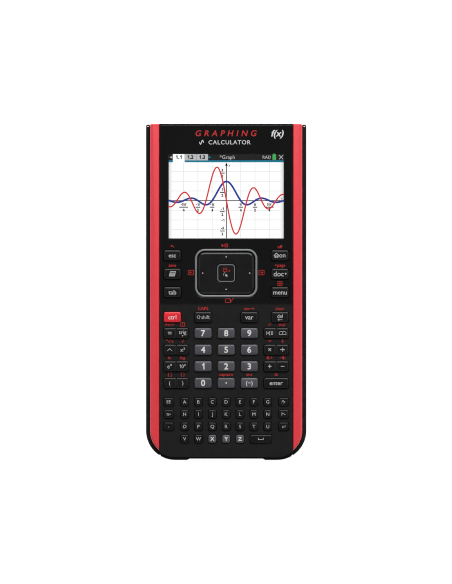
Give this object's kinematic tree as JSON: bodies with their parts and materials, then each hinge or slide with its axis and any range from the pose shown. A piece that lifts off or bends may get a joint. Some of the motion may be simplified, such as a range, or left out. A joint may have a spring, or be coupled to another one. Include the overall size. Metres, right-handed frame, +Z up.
{
  "type": "graphing calculator",
  "caption": "Hand-held graphing calculator with a colour display, touchpad, full keypad and a slide-on hard cover stored on its back.",
  "frame": {"origin": "middle of the plan, on the underside of the slide cover that the calculator lies on", "axes": "+Z up out of the display and keys, +Y towards the display end, +X to the right of someone who reads the keys"},
  "size_m": [0.0904, 0.1896, 0.0196],
  "materials": {
    "clear": "clear polished plastic",
    "shell": "fine texture",
    "gloss": "polished",
    "rail": "metallic red lacquer",
    "key": "satin",
    "number": "satin",
    "control": "satin",
    "trim": "silver lacquer on plastic",
    "screen": "lit liquid crystal panel",
    "frame": "white moulding",
    "board": "solder mask on glass fibre",
    "rubber": "silicone",
    "steel": "plain",
    "cell": "printed wrap",
    "cover": "fine texture"
  },
  "bodies": {
    "handheld": {"front_shell": "shell", "faceplate": "gloss", "side_rail_left": "rail", "side_rail_right": "rail", "rear_shell": "shell", "display_window": "clear", "lcd_panel": "screen", "backlight_tray": "frame", "touchpad_ring": "trim", "keypad_membrane": "rubber", "main_board": "board", "shield_can": "steel", "usb_port": "steel", "dock_connector": "frame", "battery": "cell", "battery_door": "shell", "case_screw_top_left": "steel", "case_screw_top_right": "steel", "case_screw_bottom_left": "steel", "case_screw_bottom_right": "steel", "door_screw": "steel"},
    "cover": {"slide_cover": "cover"},
    "pad_carrier": {"touchpad_carrier": "shell"},
    "pad_plate": {"touchpad_plate": "gloss"},
    "pad_button": {"touchpad_button": "gloss"},
    "reset": {"reset_button": "control"},
    "key_esc": {"key_esc": "key"},
    "key_notepad": {"key_notepad": "key"},
    "key_tab": {"key_tab": "key"},
    "key_on": {"key_on": "key"},
    "key_doc": {"key_doc": "key"},
    "key_menu": {"key_menu": "key"},
    "key_ctrl": {"key_ctrl": "control"},
    "key_shift": {"key_shift": "key"},
    "key_var": {"key_var": "key"},
    "key_del": {"key_del": "key"},
    "key_7": {"key_7": "number"},
    "key_8": {"key_8": "number"},
    "key_9": {"key_9": "number"},
    "key_4": {"key_4": "number"},
    "key_5": {"key_5": "number"},
    "key_6": {"key_6": "number"},
    "key_1": {"key_1": "number"},
    "key_2": {"key_2": "number"},
    "key_3": {"key_3": "number"},
    "key_0": {"key_0": "number"},
    "key_point": {"key_point": "number"},
    "key_negate": {"key_negate": "number"},
    "key_enter": {"key_enter": "key"},
    "letter_keys_row_1": {"letter_keys_row_1": "key"},
    "letter_keys_row_2": {"letter_keys_row_2": "key"},
    "letter_keys_row_3": {"letter_keys_row_3": "key"},
    "letter_keys_row_4": {"letter_keys_row_4": "key"},
    "rocker_equals_trig": {"rocker_equals_trig": "key"},
    "rocker_power_square": {"rocker_power_square": "key"},
    "rocker_exp_ten": {"rocker_exp_ten": "key"},
    "rocker_brackets": {"rocker_brackets": "key"},
    "rocker_template_book": {"rocker_template_book": "key"},
    "rocker_times_divide": {"rocker_times_divide": "key"},
    "rocker_plus_minus": {"rocker_plus_minus": "key"}
  },
  "joints": [
    {"name": "cover_slide", "type": "slide", "parent": "handheld", "child": "cover", "axis": [0, -1, 0], "range_m": [0, 0.15]},
    {"name": "pad_tip_up_down", "type": "hinge", "parent": "handheld", "child": "pad_carrier", "pos_m": [0, 0.0105, 0.0164], "axis": [1, 0, 0], "range_deg": [-2.5, 2.5], "stiffness_Nm_per_rad": 0.15},
    {"name": "pad_tip_left_right", "type": "hinge", "parent": "pad_carrier", "child": "pad_plate", "pos_m": [0, 0.0105, 0.0164], "axis": [0, 1, 0], "range_deg": [-2.5, 2.5], "stiffness_Nm_per_rad": 0.15},
    {"name": "pad_button_press", "type": "slide", "parent": "pad_plate", "child": "pad_button", "axis": [0, 0, -1], "range_m": [0, 0.0005], "stiffness_N_per_m": 500, "springref_m": -0.001},
    {"name": "reset_press", "type": "slide", "parent": "handheld", "child": "reset", "axis": [0, 0, 1], "range_m": [0, 0.0004], "stiffness_N_per_m": 400, "springref_m": -0.001},
    {"name": "key_esc_press", "type": "slide", "parent": "handheld", "child": "key_esc", "axis": [0, 0, -1], "range_m": [0, 0.001], "stiffness_N_per_m": 400, "springref_m": -0.001},
    {"name": "key_notepad_press", "type": "slide", "parent": "handheld", "child": "key_notepad", "axis": [0, 0, -1], "range_m": [0, 0.001], "stiffness_N_per_m": 400, "springref_m": -0.001},
    {"name": "key_tab_press", "type": "slide", "parent": "handheld", "child": "key_tab", "axis": [0, 0, -1], "range_m": [0, 0.001], "stiffness_N_per_m": 400, "springref_m": -0.001},
    {"name": "key_on_press", "type": "slide", "parent": "handheld", "child": "key_on", "axis": [0, 0, -1], "range_m": [0, 0.001], "stiffness_N_per_m": 400, "springref_m": -0.001},
    {"name": "key_doc_press", "type": "slide", "parent": "handheld", "child": "key_doc", "axis": [0, 0, -1], "range_m": [0, 0.001], "stiffness_N_per_m": 400, "springref_m": -0.001},
    {"name": "key_menu_press", "type": "slide", "parent": "handheld", "child": "key_menu", "axis": [0, 0, -1], "range_m": [0, 0.001], "stiffness_N_per_m": 400, "springref_m": -0.001},
    {"name": "key_ctrl_press", "type": "slide", "parent": "handheld", "child": "key_ctrl", "axis": [0, 0, -1], "range_m": [0, 0.001], "stiffness_N_per_m": 400, "springref_m": -0.001},
    {"name": "key_shift_press", "type": "slide", "parent": "handheld", "child": "key_shift", "axis": [0, 0, -1], "range_m": [0, 0.001], "stiffness_N_per_m": 400, "springref_m": -0.001},
    {"name": "key_var_press", "type": "slide", "parent": "handheld", "child": "key_var", "axis": [0, 0, -1], "range_m": [0, 0.001], "stiffness_N_per_m": 400, "springref_m": -0.001},
    {"name": "key_del_press", "type": "slide", "parent": "handheld", "child": "key_del", "axis": [0, 0, -1], "range_m": [0, 0.001], "stiffness_N_per_m": 400, "springref_m": -0.001},
    {"name": "key_7_press", "type": "slide", "parent": "handheld", "child": "key_7", "axis": [0, 0, -1], "range_m": [0, 0.001], "stiffness_N_per_m": 400, "springref_m": -0.001},
    {"name": "key_8_press", "type": "slide", "parent": "handheld", "child": "key_8", "axis": [0, 0, -1], "range_m": [0, 0.001], "stiffness_N_per_m": 400, "springref_m": -0.001},
    {"name": "key_9_press", "type": "slide", "parent": "handheld", "child": "key_9", "axis": [0, 0, -1], "range_m": [0, 0.001], "stiffness_N_per_m": 400, "springref_m": -0.001},
    {"name": "key_4_press", "type": "slide", "parent": "handheld", "child": "key_4", "axis": [0, 0, -1], "range_m": [0, 0.001], "stiffness_N_per_m": 400, "springref_m": -0.001},
    {"name": "key_5_press", "type": "slide", "parent": "handheld", "child": "key_5", "axis": [0, 0, -1], "range_m": [0, 0.001], "stiffness_N_per_m": 400, "springref_m": -0.001},
    {"name": "key_6_press", "type": "slide", "parent": "handheld", "child": "key_6", "axis": [0, 0, -1], "range_m": [0, 0.001], "stiffness_N_per_m": 400, "springref_m": -0.001},
    {"name": "key_1_press", "type": "slide", "parent": "handheld", "child": "key_1", "axis": [0, 0, -1], "range_m": [0, 0.001], "stiffness_N_per_m": 400, "springref_m": -0.001},
    {"name": "key_2_press", "type": "slide", "parent": "handheld", "child": "key_2", "axis": [0, 0, -1], "range_m": [0, 0.001], "stiffness_N_per_m": 400, "springref_m": -0.001},
    {"name": "key_3_press", "type": "slide", "parent": "handheld", "child": "key_3", "axis": [0, 0, -1], "range_m": [0, 0.001], "stiffness_N_per_m": 400, "springref_m": -0.001},
    {"name": "key_0_press", "type": "slide", "parent": "handheld", "child": "key_0", "axis": [0, 0, -1], "range_m": [0, 0.001], "stiffness_N_per_m": 400, "springref_m": -0.001},
    {"name": "key_point_press", "type": "slide", "parent": "handheld", "child": "key_point", "axis": [0, 0, -1], "range_m": [0, 0.001], "stiffness_N_per_m": 400, "springref_m": -0.001},
    {"name": "key_negate_press", "type": "slide", "parent": "handheld", "child": "key_negate", "axis": [0, 0, -1], "range_m": [0, 0.001], "stiffness_N_per_m": 400, "springref_m": -0.001},
    {"name": "key_enter_press", "type": "slide", "parent": "handheld", "child": "key_enter", "axis": [0, 0, -1], "range_m": [0, 0.001], "stiffness_N_per_m": 400, "springref_m": -0.001},
    {"name": "letter_keys_row_1_press", "type": "slide", "parent": "handheld", "child": "letter_keys_row_1", "axis": [0, 0, -1], "range_m": [0, 0.0008], "stiffness_N_per_m": 400, "springref_m": -0.001},
    {"name": "letter_keys_row_2_press", "type": "slide", "parent": "handheld", "child": "letter_keys_row_2", "axis": [0, 0, -1], "range_m": [0, 0.0008], "stiffness_N_per_m": 400, "springref_m": -0.001},
    {"name": "letter_keys_row_3_press", "type": "slide", "parent": "handheld", "child": "letter_keys_row_3", "axis": [0, 0, -1], "range_m": [0, 0.0008], "stiffness_N_per_m": 400, "springref_m": -0.001},
    {"name": "letter_keys_row_4_press", "type": "slide", "parent": "handheld", "child": "letter_keys_row_4", "axis": [0, 0, -1], "range_m": [0, 0.0008], "stiffness_N_per_m": 400, "springref_m": -0.001},
    {"name": "rocker_equals_trig_tip", "type": "hinge", "parent": "handheld", "child": "rocker_equals_trig", "pos_m": [-0.02815, -0.0233, 0.017], "axis": [0, 1, 0], "range_deg": [-5.5, 5.5], "stiffness_Nm_per_rad": 0.025},
    {"name": "rocker_power_square_tip", "type": "hinge", "parent": "handheld", "child": "rocker_power_square", "pos_m": [-0.02815, -0.03265, 0.017], "axis": [0, 1, 0], "range_deg": [-5.5, 5.5], "stiffness_Nm_per_rad": 0.025},
    {"name": "rocker_exp_ten_tip", "type": "hinge", "parent": "handheld", "child": "rocker_exp_ten", "pos_m": [-0.02815, -0.042, 0.017], "axis": [0, 1, 0], "range_deg": [-5.5, 5.5], "stiffness_Nm_per_rad": 0.025},
    {"name": "rocker_brackets_tip", "type": "hinge", "parent": "handheld", "child": "rocker_brackets", "pos_m": [-0.02815, -0.05135, 0.017], "axis": [0, 1, 0], "range_deg": [-5.5, 5.5], "stiffness_Nm_per_rad": 0.025},
    {"name": "rocker_template_book_tip", "type": "hinge", "parent": "handheld", "child": "rocker_template_book", "pos_m": [0.02815, -0.0233, 0.017], "axis": [0, 1, 0], "range_deg": [-5.5, 5.5], "stiffness_Nm_per_rad": 0.025},
    {"name": "rocker_times_divide_tip", "type": "hinge", "parent": "handheld", "child": "rocker_times_divide", "pos_m": [0.02815, -0.03265, 0.017], "axis": [0, 1, 0], "range_deg": [-5.5, 5.5], "stiffness_Nm_per_rad": 0.025},
    {"name": "rocker_plus_minus_tip", "type": "hinge", "parent": "handheld", "child": "rocker_plus_minus", "pos_m": [0.02815, -0.042, 0.017], "axis": [0, 1, 0], "range_deg": [-5.5, 5.5], "stiffness_Nm_per_rad": 0.025}
  ]
}
